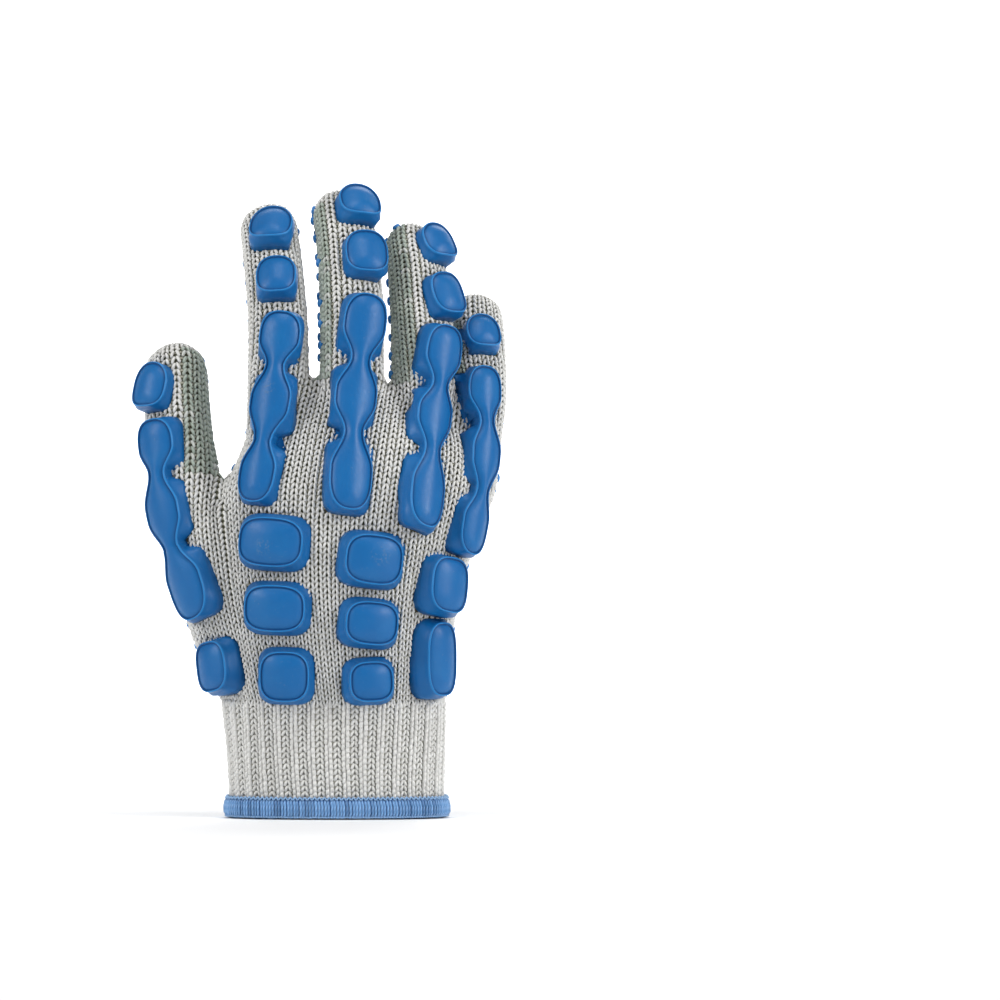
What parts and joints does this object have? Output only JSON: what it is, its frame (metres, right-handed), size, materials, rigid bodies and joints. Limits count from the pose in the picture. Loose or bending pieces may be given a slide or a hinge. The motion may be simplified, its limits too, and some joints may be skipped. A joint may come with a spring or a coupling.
{
  "type": "knitted impact glove",
  "caption": "Knitted right-hand work glove with raised rubber impact blocks over the fingers and the back of the hand and a bound cuff, shown filled out as worn.",
  "frame": {"origin": "middle of the wrist opening, at the lower edge of the bound cuff", "axes": "+Z from the wrist to the fingertips, -Y out of the back of the hand, -X towards the thumb"},
  "size_m": [0.1439, 0.0701, 0.2449],
  "materials": {
    "knit": "matt white string knit",
    "liner": "matt grey-green plaited yarn, seen at the digits' sides and inside",
    "binding": "matt light blue overlock thread",
    "impact_rubber": "satin blue moulded rubber",
    "grip_dots": "satin blue printed dots on the palm side"
  },
  "bodies": {
    "root": {"knit_shell": "knit", "cuff_binding": "binding", "pad_thumb_tip": "impact_rubber", "pad_thumb_long": "impact_rubber", "pad_thumb_base": "impact_rubber", "pad_index_tip": "impact_rubber", "pad_index_joint": "impact_rubber", "pad_index_long": "impact_rubber", "pad_middle_tip": "impact_rubber", "pad_middle_joint": "impact_rubber", "pad_middle_long": "impact_rubber", "pad_ring_tip": "impact_rubber", "pad_ring_joint": "impact_rubber", "pad_ring_long": "impact_rubber", "pad_little_tip": "impact_rubber", "pad_little_long": "impact_rubber", "pad_back_index_1": "impact_rubber", "pad_back_index_2": "impact_rubber", "pad_back_index_3": "impact_rubber", "pad_back_ring_1": "impact_rubber", "pad_back_ring_2": "impact_rubber", "pad_back_ring_3": "impact_rubber", "pad_back_little_1": "impact_rubber", "pad_back_little_2": "impact_rubber"}
  },
  "joints": []
}
